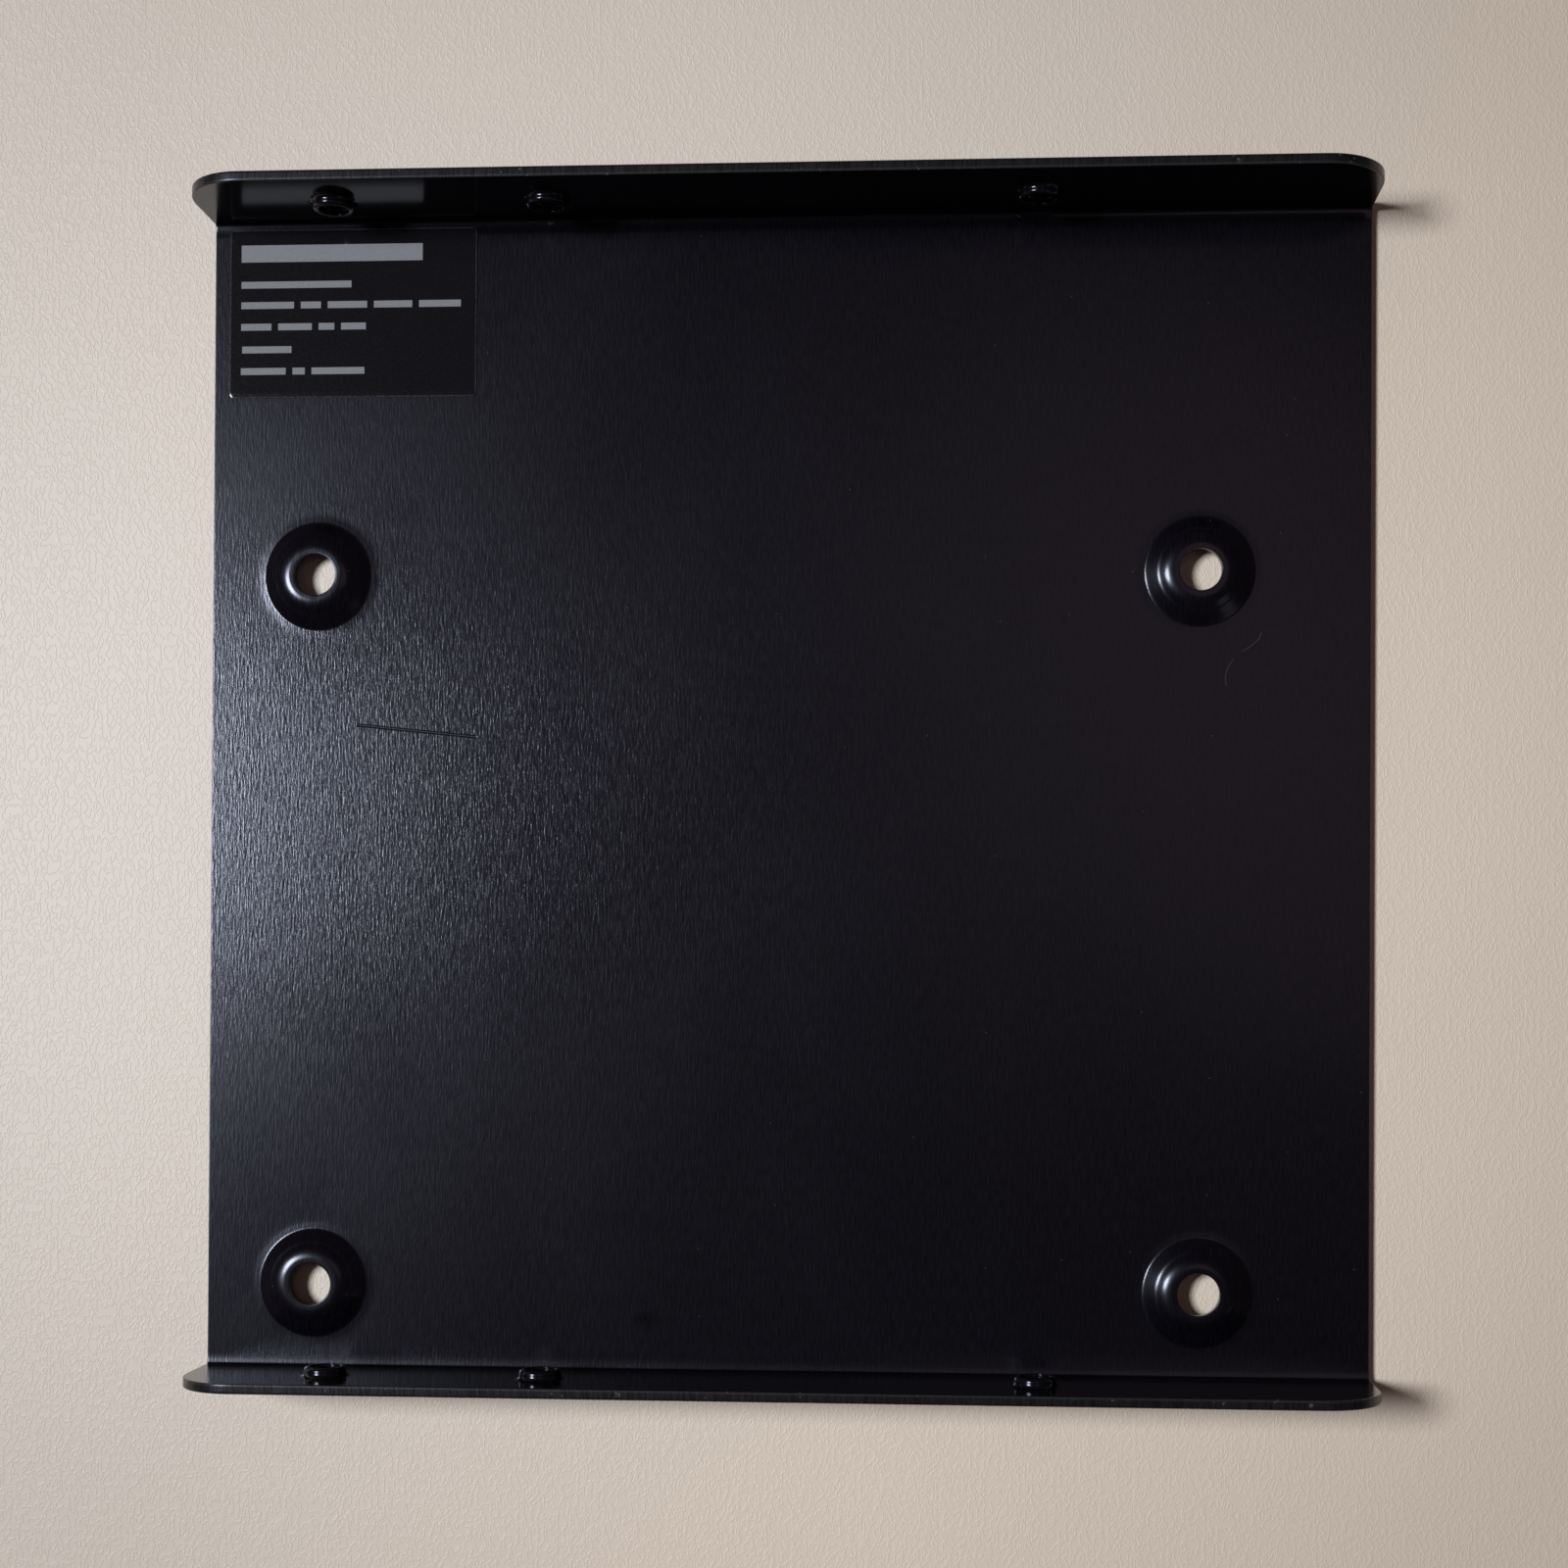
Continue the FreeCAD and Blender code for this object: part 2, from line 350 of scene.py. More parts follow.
def rounded_ends(half_length, corner_radius, edge_round, corner_steps, legs):
    """Positions along a piece with round corners, and the drop and the lean of its long edge at each.

    Along a corner the position and the drop follow a circle, as the cosine and the sine of equal turns, and
    the edge leans away from the middle by that cosine. Between the corners the positions follow the legs.
    """
    turn = np.radians(np.linspace(0, 90, corner_steps + 1)[:-1])
    inset = corner_radius - edge_round
    reach = half_length - corner_radius + inset * np.cos(turn)
    fall = inset * (1 - np.sin(turn))
    middle = stations(corner_radius - half_length, *legs)
    level = np.zeros(middle.size)
    position = np.concatenate([-reach, middle, reach[::-1]])
    drop = np.concatenate([fall, level, fall[::-1]])
    lean = np.concatenate([-np.cos(turn), level, np.cos(turn[::-1])])
    return position, drop, lean


def edge_strip(rim, outward, normal, thickness, radius, steps):
    """Rows of points across a cut edge, and their depths.

    The rim's points are moved outwards and down along a quarter arc, a straight land and a quarter arc.
    """
    turn = np.radians(np.linspace(0, 90, steps + 1))
    first = np.stack([radius * np.sin(turn), radius * (1 - np.cos(turn))], 1)
    land_depth = np.linspace(radius, thickness - radius, EDGE_LAND_ROWS + 2)[1:-1]
    land = np.stack([np.full(EDGE_LAND_ROWS, radius), land_depth], 1)
    last = np.stack([first[::-1, 0], thickness - first[::-1, 1]], 1)
    reach, depth = np.concatenate([first, land, last])[1:-1].T
    strip = rim + reach[:, None, None] * outward - depth[:, None, None] * normal
    return strip, depth[:, None]


def boss_profile():
    """Radius, height and wear over one boss, from the plate over the seat, down the hole and along below.

    The upper side's height is the seat's less the running sum of the slope's tangent over the radius, brought
    to the boss's rise. The underside is a round corner, a straight wall and an arc about the foot's centre.
    """
    top = THICKNESS + BOSS_RISE
    upper = stations(HOLE_RIM, *BOSS_RINGS)
    tangent = np.tan(np.radians(np.interp(upper, *np.transpose(BOSS_SLOPES))))
    fall = np.concatenate([[0.0], np.cumsum((tangent[1:] + tangent[:-1]) / 2 * np.diff(upper))])
    upper = np.stack([upper, top - BOSS_RISE * fall / fall[-1]], 1)

    slope = math.radians(BOSS_SLOPE)
    half = math.tan(slope / 2)
    foot_centre = (FOOT_CORNER + FOOT_ROUND * half, THICKNESS + FOOT_ROUND)
    under_corner = FOOT_CORNER - THICKNESS * half - BOSS_RISE / math.tan(slope)
    under_centre = (under_corner - UNDER_SEAT_ROUND * half, BOSS_RISE - UNDER_SEAT_ROUND)
    hole_top = arc((HOLE_RIM, top - HOLE_EDGE_ROUND), HOLE_EDGE_ROUND, 90, 180, 4)
    hole_foot = arc((HOLE_RIM, BOSS_RISE + HOLE_EDGE_ROUND), HOLE_EDGE_ROUND, 180, 270, 4)
    under_seat = arc(under_centre, UNDER_SEAT_ROUND, 90, 90 - BOSS_SLOPE, 5)
    under_foot = arc(foot_centre, FOOT_ROUND + THICKNESS, 270 - BOSS_SLOPE, 270, 9)
    profile = np.concatenate([
        upper[::-1],
        hole_top[1:],
        straight(hole_top[-1], hole_foot[0], 3),
        hole_foot,
        straight(hole_foot[-1], under_seat[0], 2),
        under_seat,
        straight(under_seat[-1], under_foot[0], 3),
        under_foot,
        [(upper[-1, 0], 0.0)],
    ])
    radius, height = profile.T
    return radius, height, np.where(radius < HOLE_RIM - TOLERANCE, HOLE_WEAR, 0.0)


def collar_profile():
    """Radius, depth and wear over one collar, from the flange's inner face to its outer one at depth 0.

    A hollow root arc, the collar's wall, a rounded lip, the bore with its thread rows and the mouth's bevel.
    """
    lip = THICKNESS + COLLAR_RISE
    root_centre = (COLLAR_RADIUS + COLLAR_ROOT_ROUND, THICKNESS + COLLAR_ROOT_ROUND)
    disc = root_centre[0] + COLLAR_MARGIN
    root = arc(root_centre, COLLAR_ROOT_ROUND, 270, 180, 6)
    lip_arc = arc((COLLAR_RADIUS - LIP_ROUND, lip - LIP_ROUND), LIP_ROUND, 0, 90, 7)
    bore_depth = stations(lip - LIP_BEVEL, (MOUTH_BEVEL, 34))
    bore = np.stack([np.full(bore_depth.size, BORE_RADIUS), bore_depth], 1)
    bore_rim = BORE_RADIUS + LIP_BEVEL
    mouth = (BORE_RADIUS + MOUTH_BEVEL, 0.0)
    profile = np.concatenate([
        [(disc, THICKNESS)],
        root,
        straight(root[-1], lip_arc[0], 2),
        lip_arc,
        [(bore_rim + RIM_STEP, lip), (bore_rim, lip)],
        bore,
        straight(bore[-1], mouth, 3),
        [mouth, (mouth[0] + RIM_STEP, 0.0), (disc, 0.0)],
    ])
    radius, depth = profile.T
    at_lip = (depth > lip - LIP_ROUND) & (radius > BORE_RADIUS + TOLERANCE)
    return radius, depth, np.where(at_lip, LIP_WEAR, 0.0)


def thread_cut(depth, angle, radius):
    """Extra radius of a right-hand screw thread: flanks that rise and fall once per pitch along a helix."""
    phase = depth / THREAD_PITCH - angle / (2 * math.pi)
    ridge = np.abs(phase - np.floor(phase) - 0.5) * 2
    flank = np.clip((ridge - THREAD_CREST) / THREAD_FLANK, 0, 1)
    room = np.minimum(depth - MOUTH_BEVEL, THICKNESS + COLLAR_RISE - LIP_BEVEL - depth)
    run_out = np.clip(room / THREAD_RUN_OUT, 0, 1)
    return np.where(radius < BORE_RADIUS + TOLERANCE, THREAD_DEPTH * flank * run_out, 0)


def bend_section():
    """Run, lift, tilt and length along a bend's inner face, from the plate's end to the flange's foot.

    Two wide arcs tilt the sheet a little and a tight one turns it up. Each step adds to the run the arc's
    radius times the rise of the tilt's sine, and to the lift the radius times the fall of its cosine. The
    length is that at mid thickness.
    """
    radii, tilts, steps = zip(*BEND_ARCS)
    tilt = np.radians(stations(0.0, *zip(tilts, steps)))
    radius = np.repeat(radii, steps)
    changes = np.stack([
        radius * np.diff(np.sin(tilt)),
        -radius * np.diff(np.cos(tilt)),
        (radius + THICKNESS / 2) * np.diff(tilt),
    ])
    run, lift, length = np.concatenate([np.zeros((3, 1)), np.cumsum(changes, 1)], 1)
    return run, lift, tilt, length


def developed(height):
    """Distance from the plate's middle, measured along the unfolded sheet, of a height on a flange."""
    run, lift, tilt, length = bend_section()
    return INNER_HALF_WIDTH - run[-1] + length[-1] + height - THICKNESS - lift[-1]


class OnPlate:
    """Plan of the plate: x and y as they are, height from the underside."""

    def flat(self, points):
        return points[:, :2]

    def solid(self, flat, heights):
        return np.concatenate([flat, heights[..., None]], -1)

    def place(self, flat, heights):
        return self.solid(flat, heights)

    def extra(self, height, angle, radius):
        return np.zeros(np.broadcast(height, angle).shape)


class OnFlange:
    """Plan of one flange: x along it, the height times its side's sign across it, depth from its outer face.

    With that sign the three make a right-handed set on both flanges.
    """

    def __init__(self, side):
        self.side = side

    def flat(self, points):
        return np.stack([points[:, 0], self.side * points[:, 2]], 1)

    def solid(self, flat, depth):
        return np.stack([flat[..., 0], self.side * (WIDTH / 2 - depth), self.side * flat[..., 1]], -1)

    def place(self, flat, depth):
        return np.stack([flat[..., 0], self.side * developed(self.side * flat[..., 1]), depth], -1)

    def extra(self, depth, angle, radius):
        return thread_cut(depth, angle, radius)


def set_form(shell, faces, cell, centre, profile, plan):
    """A turned form set into a rectangle of the sheet, joining the inner face's loop to the outer face's.

    Rings run from the rectangle on the inner face to the form's circle, along its profile, and back out to
    the rectangle on the outer face. The angle of every ring is that of the rectangle's own nodes.
    """
    inner, outer, points = faces
    i, j = loop_round(*cell)
    corner = plan.flat(points[i, j]) - centre
    angle = np.arctan2(corner[:, 1], corner[:, 0])
    radius, height, wear = profile
    radius = radius[:, None] + plan.extra(height[:, None], angle[None], radius[:, None])
    circle = radius[..., None] * np.stack([np.cos(angle), np.sin(angle)], 1)
    ease = np.array(RING_EASES)[:, None, None]
    out_rings = corner * ease + circle[:1] * (1 - ease)
    back_rings = (corner * ease + circle[-1:] * (1 - ease))[::-1]
    flat = np.concatenate([out_rings, circle, back_rings]) + centre
    rings = len(RING_EASES)
    heights = np.pad(height, rings, mode="edge")[:, None] * np.ones(angle.size)
    worn = np.pad(wear, rings)[:, None]
    index = shell.add(plan.solid(flat, heights), plan.place(flat, heights), worn)
    shell.band(np.vstack([inner[i, j], index, outer[i, j]]), False)


def bracket_columns():
    """Positions along the folds, set by the forms' rectangles, and the flange edges' drop and lean."""
    return rounded_ends(LENGTH / 2, CORNER_RADIUS, EDGE_ROUND, CORNER_STEPS, [
        (COLLAR_X[0] - COLLAR_CELL, 6),
        (COLLAR_X[0] + COLLAR_CELL, COLLAR_CELL_STEPS),
        (BOSS_X[0] + BOSS_CELL, 1),
        (COLLAR_X[1] - COLLAR_CELL, 5),
        (COLLAR_X[1] + COLLAR_CELL, COLLAR_CELL_STEPS),
        (COLLAR_X[2] - COLLAR_CELL, 14),
        (COLLAR_X[2] + COLLAR_CELL, COLLAR_CELL_STEPS),
        (BOSS_X[1] - BOSS_CELL, 2),
        (BOSS_X[1] + BOSS_CELL, BOSS_CELL_STEPS),
        (LENGTH / 2 - CORNER_RADIUS, 2),
    ])


def flange_rows(fold):
    """Heights of a flange's rows between its rounded corners, from its edge down to the fold."""
    return stations(
        FLANGE_TOP,
        (FLANGE_TOP - EDGE_ROW, 1),
        (COLLAR_Z + COLLAR_CELL, 2),
        (COLLAR_Z - COLLAR_CELL, COLLAR_CELL_STEPS),
        (fold + EDGE_ROW, 2),
        (fold, 1),
    )


def plate_rows(plate_half):
    """Positions of the plate's rows across the folds, from bend to bend."""
    return stations(
        -plate_half,
        (BOSS_Y[0] - BOSS_CELL, 1),
        (BOSS_Y[0] + BOSS_CELL, BOSS_CELL_STEPS),
        (BOSS_Y[1] - BOSS_CELL, 18),
        (BOSS_Y[1] + BOSS_CELL, BOSS_CELL_STEPS),
        (plate_half, 10),
    )


def bracket_section(drop):
    """Section of the inner face: y, heights, unfolded distances, normals and a flange's own heights.

    It runs down one flange, round a bend, across the plate, round the other bend and up the other flange.
    Each flange's rows lie at fixed shares of its height, which is less by the drop near its rounded corners.
    """
    run, lift, tilt, length = bend_section()
    fold = THICKNESS + lift[-1]
    plate_half = INNER_HALF_WIDTH - run[-1]
    rows = flange_rows(fold)
    share = (rows - fold) / (FLANGE_TOP - fold)
    flange_z = fold + share * (FLANGE_TOP - fold - drop[:, None])
    plate_y = plate_rows(plate_half)

    bend = slice(-2, 0, -1)
    column = np.ones((drop.size, 1))
    side_y = np.concatenate([np.full(rows.size, INNER_HALF_WIDTH), plate_half + run[bend]])
    side_z = np.concatenate([flange_z, column * (THICKNESS + lift[bend])], 1)
    side_unfolded = np.concatenate([developed(flange_z), column * (plate_half + length[bend])], 1)
    side_lean = np.concatenate([np.ones(rows.size), np.sin(tilt[bend])])

    y = np.concatenate([-side_y, plate_y, side_y[::-1]])
    z = np.concatenate([side_z, column * np.full(plate_y.size, THICKNESS), side_z[:, ::-1]], 1)
    unfolded = np.concatenate([-side_unfolded, column * plate_y, side_unfolded[:, ::-1]], 1)
    lean = np.concatenate([side_lean, np.zeros(plate_y.size), -side_lean[::-1]])
    normal = np.stack([np.zeros(y.size), lean, np.sqrt(1 - lean ** 2)], -1)
    return y, z, unfolded, normal, rows


def make_bracket():
    """The folded sheet as one closed skin.

    A grid runs along the folds and along the section. The outer face lies one thickness behind the inner one.
    Bosses and collars fill rectangles left out of the grid, and a rounded strip closes the cut edge.
    """
    x, drop, lean = bracket_columns()
    y, z, unfolded, normal, rows = bracket_section(drop)
    points = np.stack([np.repeat(x[:, None], y.size, 1), np.tile(y, (x.size, 1)), z], -1)
    places = np.stack([points[..., 0], unfolded, np.full(z.shape, THICKNESS)], -1)
    shell = Shell()
    inner = shell.add(points, places, 0.0)
    outer = shell.add(points - THICKNESS * normal, places * (1, 1, 0), 0.0)
    faces = (inner, outer, points)
    keep = np.ones((x.size - 1, y.size - 1), bool)

    boss = boss_profile()
    for boss_x, boss_y in itertools.product(BOSS_X, BOSS_Y):
        i0, i1 = nearest(x, boss_x, BOSS_CELL)
        j0, j1 = nearest(y, boss_y, BOSS_CELL)
        keep[i0:i1, j0:j1] = False
        set_form(shell, faces, (i0, i1, j0, j1), np.array([boss_x, boss_y]), boss, OnPlate())
    collar = collar_profile()
    for side, collar_x in itertools.product((-1, 1), COLLAR_X):
        i0, i1 = nearest(x, collar_x, COLLAR_CELL)
        upper, lower = nearest(rows, COLLAR_Z, COLLAR_CELL)
        j0, j1 = (upper, lower) if side < 0 else (y.size - 1 - lower, y.size - 1 - upper)
        keep[i0:i1, j0:j1] = False
        centre = np.array([collar_x, side * COLLAR_Z])
        set_form(shell, faces, (i0, i1, j0, j1), centre, collar, OnFlange(side))
    shell.grid(inner, keep, False)
    shell.grid(outer, keep, True)

    i, j = loop_round(0, x.size - 1, 0, y.size - 1)
    outward = np.stack([lean[i], np.zeros(i.size), np.sqrt(1 - lean[i] ** 2)], -1)
    strip, depth = edge_strip(points[i, j], outward, normal[j], THICKNESS, EDGE_ROUND, EDGE_STEPS)
    strip_places = np.broadcast_to(places[i, j], strip.shape).copy()
    strip_places[..., 2] -= depth
    index = shell.add(strip, strip_places, 1.0)
    shell.band(np.vstack([inner[i, j], index, outer[i, j]]), True)
    return shell.piece("folded_bracket_skin")


def make_label():
    """Thin film: a grid whose rows lie at fixed shares of its width, which follows the rounded corners.

    Its underside lies one film thickness below, and a rounded strip closes the cut edge.
    """
    half_length = LABEL_LENGTH / 2
    legs = [(half_length - LABEL_CORNER, LABEL_COLUMNS)]
    x, drop, lean = rounded_ends(half_length, LABEL_CORNER, LABEL_EDGE, LABEL_CORNER_STEPS, legs)
    share = np.linspace(-1, 1, LABEL_ROWS + 1)
    y = share * (LABEL_WIDTH / 2 - LABEL_EDGE - drop[:, None])
    points = np.stack([np.repeat(x[:, None], share.size, 1), y, np.zeros(y.shape)], -1) + LABEL_CENTRE
    below = points - (0, 0, LABEL_THICKNESS)
    shell = Shell()
    upper = shell.add(points, points, 0.0)
    lower = shell.add(below, below, 0.0)
    keep = np.ones((x.size - 1, share.size - 1), bool)
    shell.grid(upper, keep, False)
    shell.grid(lower, keep, True)

    i, j = loop_round(0, x.size - 1, 0, share.size - 1)
    across = np.sqrt(1 - lean[i] ** 2) * np.sign(share[j])
    outward = np.stack([lean[i], across, np.zeros(i.size)], -1)
    up = np.array([0, 0, 1])
    strip, _ = edge_strip(points[i, j], outward, up, LABEL_THICKNESS, LABEL_EDGE, LABEL_EDGE_STEPS)
    index = shell.add(strip, strip, 1.0)
    shell.band(np.vstack([upper[i, j], index, lower[i, j]]), True)
    return shell.piece("label_film_skin")


class Nodes:
    """Short ways to add shader nodes to one material."""

    def __init__(self, name):
        self.material = bpy.data.materials.new(name)
        self.material.use_nodes = True
        self.tree = self.material.node_tree
        self.shader = self.tree.nodes["Principled BSDF"]

    def new(self, kind, inputs=(), **settings):
        node = self.tree.nodes.new("ShaderNode" + kind)
        for key, value in settings.items():
            setattr(node, key, value)
        for key, value in dict(inputs).items():
            self.feed(node.inputs[key], value)
        return node

    def feed(self, socket, value):
        if isinstance(value, bpy.types.NodeSocket):
            self.tree.links.new(value, socket)
        else:
            socket.default_value = value

    def attribute(self, name):
        return self.new("Attribute", attribute_name=name)

    def math(self, operation, first, second=0.0, third=0.0):
        return self.new("Math", {0: first, 1: second, 2: third}, operation=operation).outputs[0]

    def plus(self, first, second):
        return self.math("ADD", first, second)

    def minus(self, first, second):
        return self.math("SUBTRACT", first, second)

    def times(self, first, second):
        return self.math("MULTIPLY", first, second)

    def greater(self, first, second):
        return self.math("MAXIMUM", first, second)

    def size(self, value):
        return self.math("ABSOLUTE", value)

    def between(self, value, low, high):
        """1 where a value lies between two limits, else 0."""
        return self.math("COMPARE", value, (low + high) / 2, (high - low) / 2)

    def ramp(self, value, low, high, to_low=0.0, to_high=1.0):
        """Smooth step of a value, from one result at the low limit to another at the high one."""
        inputs = {"Value": value, "From Min": low, "From Max": high, "To Min": to_low, "To Max": to_high}
        return self.new("MapRange", inputs, interpolation_type="SMOOTHSTEP").outputs["Result"]

    def mix(self, share, first, second):
        node = self.new("Mix", data_type="RGBA")
        self.feed(node.inputs[0], share)
        self.feed(node.inputs[6], first)
        self.feed(node.inputs[7], second)
        return node.outputs[2]

    def vector(self, operation, first, second):
        return self.new("VectorMath", {0: first, 1: second}, operation=operation).outputs["Vector"]

    def measure(self, operation, first, second=(0.0, 0.0, 0.0)):
        """A number taken from one or two vectors, such as a length or a dot product."""
        return self.new("VectorMath", {0: first, 1: second}, operation=operation).outputs["Value"]

    def scaled(self, vector, scale):
        return self.vector("MULTIPLY", vector, scale)

    def noise(self, vector, scale, detail=2.0, roughness=0.5):
        """Noise at so many waves per unit of each coordinate, flat where the third has none."""
        waves = self.scaled(vector, scale)
        inputs = {"Vector": waves, "Scale": 1.0, "Detail": detail, "Roughness": roughness}
        return self.new("TexNoise", inputs, noise_dimensions="3D" if scale[2] else "2D").outputs["Fac"]

    def bump(self, height, depth):
        inputs = {"Height": height, "Strength": 1.0, "Distance": depth}
        return self.new("Bump", inputs).outputs["Normal"]

    def stroke(self, place, start, end, half_width):
        """Share of a straight line on the plate's upper face: 1 along it, fading to 0 at its half width."""
        run = np.array(end) - np.array(start)
        length = float(np.hypot(*run))
        line = (run[0] / length, run[1] / length, 0.0)
        offset = self.vector("SUBTRACT", place, (*start, THICKNESS))
        along = self.greater(self.measure("DOT_PRODUCT", offset, line), 0.0)
        along = self.math("MINIMUM", along, length)
        foot = self.new("VectorMath", {0: line, "Scale": along}, operation="SCALE").outputs["Vector"]
        away = self.measure("DISTANCE", offset, foot)
        return self.ramp(away, 0.0, half_width, 1.0, 0.0)

    def strokes(self, place, corners, half_width):
        """Share of a line that bends at its corners: the greatest share of its straight strokes."""
        share = 0.0
        for start, end in zip(corners, corners[1:]):
            share = self.greater(share, self.stroke(place, start, end, half_width))
        return share

    def set(self, **values):
        for key, value in values.items():
            self.feed(self.shader.inputs[key.replace("_", " ")], value)


class PaintedSheet(Nodes):
    """Satin black coat over a sheet whose rolled grain runs across the folds, worn grey on the cut edges.

    The grain stands out in one patch of the plate. The flanges and the bend beside the label are glossier.
    The plate carries a dark scratch, a dark spot, a pale rub, a fine curved hairline and some specks of dust.
    """

    def __init__(self):
        super().__init__("black_paint_on_grained_sheet")
        self.place = self.attribute("sheet_place").outputs["Vector"]
        self.wear = self.attribute("edge_wear").outputs["Fac"]
        axis = self.new("SeparateXYZ", {0: self.place})
        self.across = axis.outputs[1]
        self.level = axis.outputs[2]
        self.grain = self.noise(self.place, GRAIN_WAVES, 2.0, 0.55)
        self.shear = self.noise(self.place, SHEAR_WAVES, 3.0, 0.6)
        self.scratch = self.strokes(self.place, SCRATCH, SCRATCH_HALF_WIDTH)
        self.clear = self.grain_share()
        self.glossy = self.glossy_share()

    def grain_share(self):
        """How far the grain stands out: fully near the middle of its patch, faintly far from it."""
        offset = self.vector("SUBTRACT", self.place, GRAIN_MIDDLE)
        away = self.measure("LENGTH", self.scaled(offset, GRAIN_SQUEEZE))
        return self.ramp(away, GRAIN_CLEAR, GRAIN_FAINT, 1.0, GRAIN_LEAST)

    def glossy_share(self):
        """1 on both flanges and on the bend beside the label, 0 on the plate."""
        flanges = self.ramp(self.size(self.across), *FLANGE_START)
        return self.greater(flanges, self.ramp(self.across, *LABEL_BEND_START))

    def pale_share(self):
        """Pale marks on the paint: the rub, both pieces of the hairline and sparse round specks of dust."""
        rub = self.strokes(self.place, RUB, RUB_HALF_WIDTH)
        upper_hair = self.strokes(self.place, UPPER_HAIR, UPPER_HAIR_HALF_WIDTH)
        lower_hair = self.strokes(self.place, LOWER_HAIR, LOWER_HAIR_HALF_WIDTH)
        hairline = self.greater(upper_hair, lower_hair)
        inputs = {"Vector": self.scaled(self.place, DUST_WAVES), "Scale": 1.0}
        cells = self.new("TexVoronoi", inputs, voronoi_dimensions="2D")
        chance = self.new("SeparateColor", {0: cells.outputs["Color"]}).outputs[0]
        speck = self.ramp(cells.outputs["Distance"], 0.006, 0.012, 1.0, 0.0)
        dust = self.times(speck, self.ramp(chance, 0.75, 0.8))
        pale = self.greater(self.times(rub, RUB_SHARE), self.times(hairline, HAIR_SHARE))
        return self.greater(pale, self.times(dust, DUST_SHARE))

    def colour(self):
        """Black paint, grey cut edges, paler at the upper corner for wear and a painted highlight, with nicks
        and pale marks.
        """
        paint = self.mix(self.ramp(self.grain, 0.35, 0.7), PAINT_LOW, PAINT_HIGH)
        edge = self.mix(self.ramp(self.shear, 0.36, 0.64), SHEAR_LOW, SHEAR_HIGH)
        # Painted highlight: the cut edge's upper corner turns paler, for worn paint and a highlight painted
        # along it
        upper_corner_and_highlight = self.ramp(self.level, *BROKEN_EDGE_AND_HIGHLIGHT_START)
        edge = self.mix(self.times(upper_corner_and_highlight, BROKEN_EDGE_AND_HIGHLIGHT_SHARE), edge, BROKEN_EDGE_AND_HIGHLIGHT)
        colour = self.mix(self.wear, paint, edge)
        chips = self.ramp(self.noise(self.place, NICK_WAVES, 3.0, 0.6), 0.66, 0.72)
        nick = self.times(self.wear, chips)
        colour = self.mix(self.times(nick, NICK_SHARE), colour, NICK)
        return self.mix(self.pale_share(), colour, DUST)

    def relief(self):
        """Bump of the grain, faint on bosses and flanges, less the scratch and with the shear's streaks."""
        fine = self.noise(self.place, FINE_GRAIN_WAVES, 2.0, 0.5)
        height = self.plus(self.grain, self.times(fine, FINE_GRAIN_HEIGHT))
        height = self.times(height, self.clear)
        height = self.times(height, self.ramp(self.level, *BOSS_GRAIN_START, 1.0, BOSS_GRAIN))
        height = self.times(height, self.ramp(self.glossy, 0.0, 1.0, 1.0, FLANGE_GRAIN))
        height = self.minus(height, self.times(self.scratch, SCRATCH_DEPTH))
        height = self.plus(height, self.times(self.wear, self.shear))
        return self.bump(height, GRAIN_DEPTH)

    def roughness(self):
        """Roughness: rough dashes, soft clouds, glossy flanges and spot, rough edges and scratch.

        Away from the grain's patch the coat between the dashes comes nearer to their roughness.
        """
        long_dash = self.noise(self.place, LONG_DASH_WAVES, 0.0)
        short_dash = self.noise(self.place, SHORT_DASH_WAVES, 0.0)
        dash = self.ramp(self.greater(long_dash, short_dash), 0.56, 0.66)
        dash = self.plus(self.times(self.minus(dash, 1.0), self.clear), 1.0)
        cloud = self.noise(self.place, CLOUD_WAVES, 2.0, 0.5)
        rough = self.ramp(dash, 0.0, 1.0, *COAT_ROUGHNESS)
        rough = self.plus(rough, self.ramp(cloud, 0.3, 0.7, *CLOUD_ROUGHNESS))
        rough = self.times(rough, self.ramp(self.glossy, 0.0, 1.0, 1.0, FLANGE_ROUGHNESS_SHARE))
        rough = self.plus(rough, self.times(self.wear, self.ramp(self.shear, 0.3, 0.7, *EDGE_ROUGHNESS)))
        rough = self.plus(rough, self.times(self.scratch, SCRATCH_ROUGHNESS))
        spot = self.strokes(self.place, DARK_SPOT, DARK_SPOT_HALF_WIDTH)
        return self.minus(rough, self.times(spot, DARK_SPOT_GLOSS))


def black_paint():
    """Material of the painted sheet, with slightly anisotropic highlights whose tangent runs along X."""
    paint = PaintedSheet()
    paint.set(Base_Color=paint.colour(), Roughness=paint.roughness(), Normal=paint.relief())
    paint.set(Specular_IOR_Level=0.3, Specular_Tint=PAINT_SHEEN, Coat_Weight=0.05, Coat_Roughness=0.08)
    paint.set(Anisotropic=0.2, Tangent=paint.new("CombineXYZ", {0: 1.0}).outputs[0])
    return paint.material


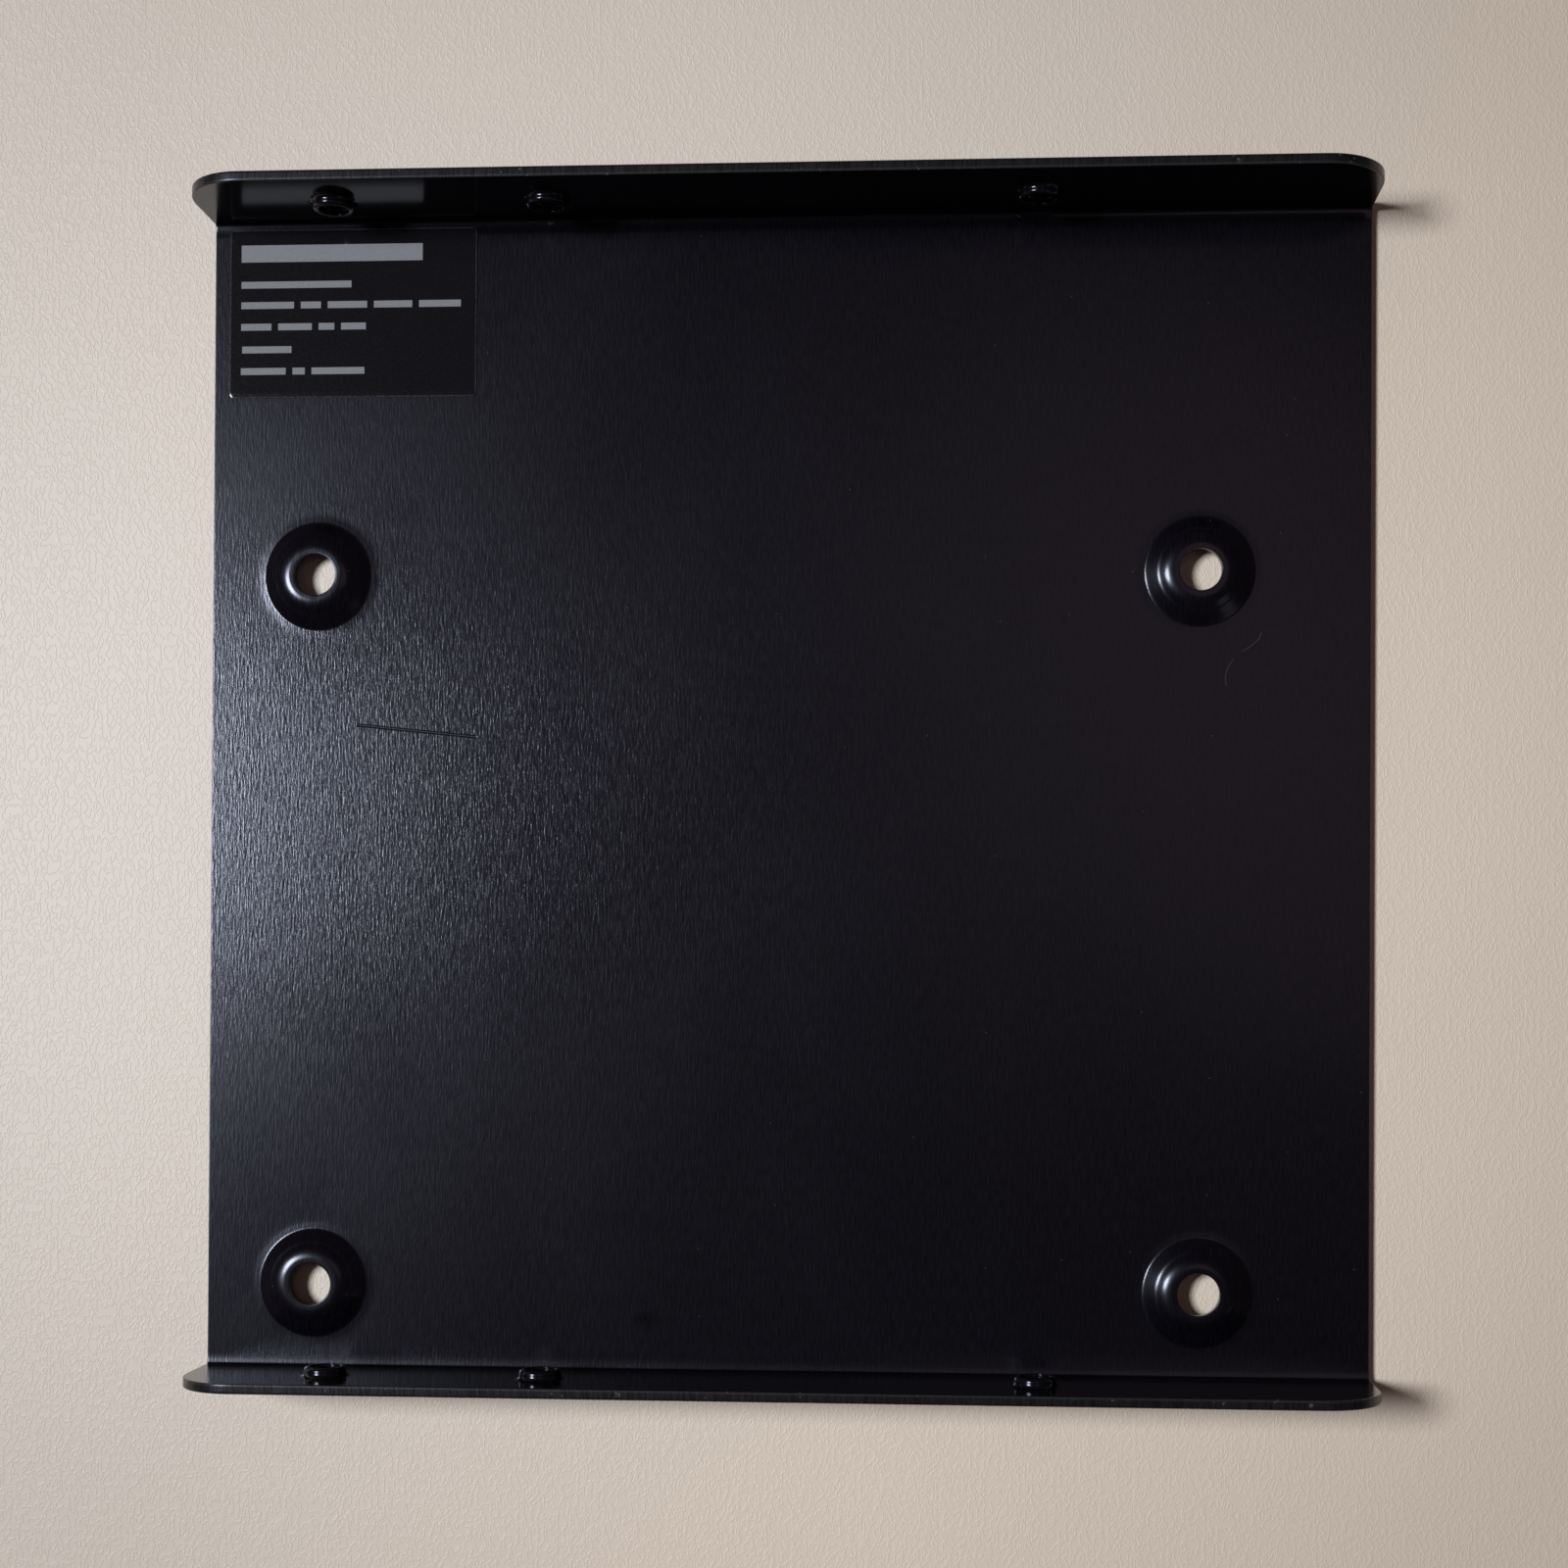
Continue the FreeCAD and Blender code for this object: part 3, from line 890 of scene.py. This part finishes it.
def black_film():
    """Semi-gloss black film with plain pale bars, a faint pale rim and a thin pale cut edge."""
    n = Nodes("black_label_film")
    place = n.attribute("sheet_place").outputs["Vector"]
    wear = n.attribute("edge_wear").outputs["Fac"]
    speck = n.noise(place, (5.0, 5.0, 5.0), 3.0, 0.6)
    axis = n.new("SeparateXYZ", {0: place})
    along = axis.outputs[0]
    across = axis.outputs[1]
    bars = 0.0
    for low, high, ends in LABEL_LINES:
        for left, right in ends:
            bar = n.times(n.between(along, left, right), n.between(across, low, high))
            bars = n.greater(bars, bar)
    film = n.mix(speck, FILM_LOW, FILM_HIGH)
    ink = n.mix(speck, INK_LOW, INK_HIGH)
    colour = n.mix(bars, film, ink)
    half_length = LABEL_LENGTH / 2
    half_width = LABEL_WIDTH / 2
    from_end = n.size(n.minus(along, LABEL_CENTRE[0]))
    from_side = n.size(n.minus(across, LABEL_CENTRE[1]))
    end_rim = n.ramp(from_end, half_length - LABEL_RIM_START, half_length - LABEL_RIM_FULL)
    side_rim = n.ramp(from_side, half_width - LABEL_RIM_START, half_width - LABEL_RIM_FULL)
    rim = n.times(n.greater(end_rim, side_rim), n.ramp(speck, 0.35, 0.6, 0.3, 1.0))
    colour = n.mix(rim, colour, FILM_RIM)
    colour = n.mix(n.times(wear, 0.5), colour, FILM_CUT)
    n.set(Base_Color=colour, Roughness=n.ramp(speck, 0.3, 0.7, 0.11, 0.15), Normal=n.bump(speck, FILM_DEPTH))
    n.set(Specular_IOR_Level=0.3)
    return n.material


def pale_table():
    """Pale matt table top with a faint leathery emboss: ridges where a noise crosses its middle value."""
    n = Nodes("pale_table_top")
    place = n.new("TexCoord").outputs["Object"]
    crease = n.minus(n.noise(place, (1700.0, 1000.0, 0.0), 2.0, 0.5), 0.5)
    emboss = n.ramp(n.size(crease), 0.0, 0.09, 1.0, 0.0)
    tint = n.noise(place, (30.0, 30.0, 30.0), 2.0, 0.5)
    colour = n.mix(tint, TABLE_LOW, TABLE_HIGH)
    # Painted shade: the table darkens to its far colour away from the middle
    colour = n.mix(n.ramp(n.measure("LENGTH", place), *TABLE_PAINTED_SHADE_START), colour, TABLE_PAINTED_SHADE)
    # Painted light: the table turns a little paler towards +X and -Y
    painted_light_reach = n.measure("DOT_PRODUCT", place, TABLE_PAINTED_LIGHT_DIRECTION)
    colour = n.mix(n.ramp(painted_light_reach, *TABLE_PAINTED_LIGHT_START), colour, n.scaled(colour, TABLE_PAINTED_LIGHT_GAIN))
    n.set(Base_Color=colour, Roughness=0.5, Normal=n.bump(emboss, EMBOSS_DEPTH))
    return n.material


def make_table():
    """Flat square table top through z = 0."""
    reach = np.array([-TABLE_REACH, TABLE_REACH])
    across, along = np.meshgrid(reach, reach)
    points = np.stack([across.ravel(), along.ravel(), np.zeros(4)], 1)
    mesh = bpy.data.meshes.new("table")
    mesh.from_pydata(points, [], [(0, 1, 3, 2)])
    top = bpy.data.objects.new("table", mesh)
    bpy.context.scene.collection.objects.link(top)
    return top


def add_light(name, direction, distance, size, power, colour):
    """Oval soft light at a distance along a direction from the plate's middle, facing it."""
    lamp = bpy.data.lights.new(name, "AREA")
    lamp.shape = "ELLIPSE"
    lamp.size, lamp.size_y = size
    lamp.energy = power
    lamp.color = colour
    light = bpy.data.objects.new(name, lamp)
    away = np.array(direction) / np.linalg.norm(direction)
    light.location = away * distance
    light.rotation_euler = (0, math.acos(away[2]), math.atan2(away[1], away[0]))
    bpy.context.scene.collection.objects.link(light)


def add_room():
    """Dim, even light from all round."""
    room = bpy.data.worlds.new("room")
    room.use_nodes = True
    background = room.node_tree.nodes["Background"]
    background.inputs["Color"].default_value = ROOM_COLOUR
    background.inputs["Strength"].default_value = ROOM_STRENGTH
    bpy.context.scene.world = room


def add_camera():
    """Camera above the plate, looking almost straight down."""
    view = bpy.data.cameras.new("camera")
    view.lens = CAMERA_LENS
    view.shift_x, view.shift_y = CAMERA_SHIFT
    view.clip_start = CAMERA_NEAR
    camera = bpy.data.objects.new("camera", view)
    camera.location = CAMERA_PLACE
    camera.rotation_euler = np.radians(CAMERA_TURN)
    bpy.context.scene.collection.objects.link(camera)
    bpy.context.scene.camera = camera


bracket = make_bracket()
bracket.data.materials.append(black_paint())
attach(bracket, "root")
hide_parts("folded_bracket")

label = make_label()
label.data.materials.append(black_film())
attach(label, "root")
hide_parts("label_film")

table = make_table()
table.data.materials.append(pale_table())

for light_values in LIGHTS:
    add_light(*light_values)
add_room()
add_camera()
bpy.context.scene.view_settings.view_transform = "Standard"
